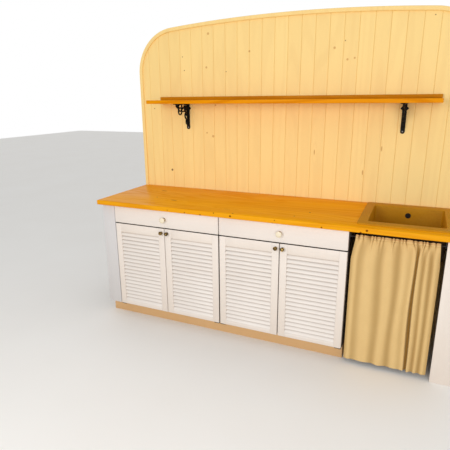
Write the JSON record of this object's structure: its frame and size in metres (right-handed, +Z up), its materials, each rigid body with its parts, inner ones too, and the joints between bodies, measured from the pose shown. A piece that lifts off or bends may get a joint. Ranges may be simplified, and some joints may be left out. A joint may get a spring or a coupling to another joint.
{
  "type": "hut end wall with fitted kitchen",
  "caption": "Boarded end wall with an arched top from a shepherd's hut, with a bracketed shelf, a worktop with inset sink, drawers over louvred doors and a curtained bay.",
  "frame": {"origin": "middle of the footprint at floor level", "axes": "+X to the right seen from inside the hut, +Y through the wall to the outside, +Z up"},
  "size_m": [2.3, 0.716, 2.064],
  "materials": {
    "frame_timber": "sawn softwood",
    "cream_boarding": "cream lacquered pine",
    "outer_boarding": "plain boarding",
    "varnished_pine": "orange varnished pine, satin",
    "black_iron": "black painted casting",
    "brown_composite": "matt moulded composite",
    "waste_steel": "polished",
    "white_paint": "white satin paint on wood",
    "beige_paint": "beige satin paint on wood",
    "cabinet_board": "dark brown faced board",
    "drawer_timber": "clear finished pine",
    "dark_steel": "blackened",
    "white_ceramic": "white glaze",
    "aged_brass": "dark aged brass",
    "cream_cotton": "plain cotton, gathered"
  },
  "bodies": {
    "wall_and_cabinets": {"sole_plate": "frame_timber", "left_post": "frame_timber", "right_post": "frame_timber", "wall_studs": "frame_timber", "arched_rail": "frame_timber", "inner_lining": "cream_boarding", "outer_cladding": "outer_boarding", "arch_bead": "cream_boarding", "corner_beads": "cream_boarding", "shelf": "varnished_pine", "shelf_back_rail": "varnished_pine", "left_bracket": "black_iron", "right_bracket": "black_iron", "worktop": "varnished_pine", "sink": "brown_composite", "sink_waste": "waste_steel", "left_filler": "white_paint", "right_filler": "white_paint", "right_gable": "white_paint", "plinth": "beige_paint", "plinth_bearers": "frame_timber", "left_cabinet_sides": "cabinet_board", "right_cabinet_sides": "cabinet_board", "cabinet_bottoms": "cabinet_board", "cabinet_backs": "cabinet_board", "cabinet_rails": "cabinet_board", "drawer_runners": "frame_timber", "door_pivots": "dark_steel", "curtain_rod": "dark_steel", "curtain": "cream_cotton"},
    "left_drawer": {"left_drawer_front": "white_paint", "left_drawer_box": "drawer_timber", "left_drawer_knob": "white_ceramic"},
    "right_drawer": {"right_drawer_front": "white_paint", "right_drawer_box": "drawer_timber", "right_drawer_knob": "white_ceramic"},
    "first_door": {"door_1": "white_paint", "door_knob_1": "aged_brass"},
    "second_door": {"door_2": "white_paint", "door_knob_2": "aged_brass"},
    "third_door": {"door_3": "white_paint", "door_knob_3": "aged_brass"},
    "fourth_door": {"door_4": "white_paint", "door_knob_4": "aged_brass"}
  },
  "joints": [
    {"name": "left_drawer_slide", "type": "slide", "parent": "wall_and_cabinets", "child": "left_drawer", "axis": [0, -1, 0], "range_m": [0, 0.35]},
    {"name": "right_drawer_slide", "type": "slide", "parent": "wall_and_cabinets", "child": "right_drawer", "axis": [0, -1, 0], "range_m": [0, 0.35]},
    {"name": "first_door_hinge", "type": "hinge", "parent": "wall_and_cabinets", "child": "first_door", "pos_m": [-1.04175, -0.296, 0.3965], "axis": [0, 0, -1], "range_deg": [0, 85]},
    {"name": "second_door_hinge", "type": "hinge", "parent": "wall_and_cabinets", "child": "second_door", "pos_m": [-0.26025, -0.296, 0.3965], "axis": [0, 0, 1], "range_deg": [0, 85]},
    {"name": "third_door_hinge", "type": "hinge", "parent": "wall_and_cabinets", "child": "third_door", "pos_m": [-0.24175, -0.296, 0.3965], "axis": [0, 0, -1], "range_deg": [0, 85]},
    {"name": "fourth_door_hinge", "type": "hinge", "parent": "wall_and_cabinets", "child": "fourth_door", "pos_m": [0.53975, -0.296, 0.3965], "axis": [0, 0, 1], "range_deg": [0, 85]}
  ]
}
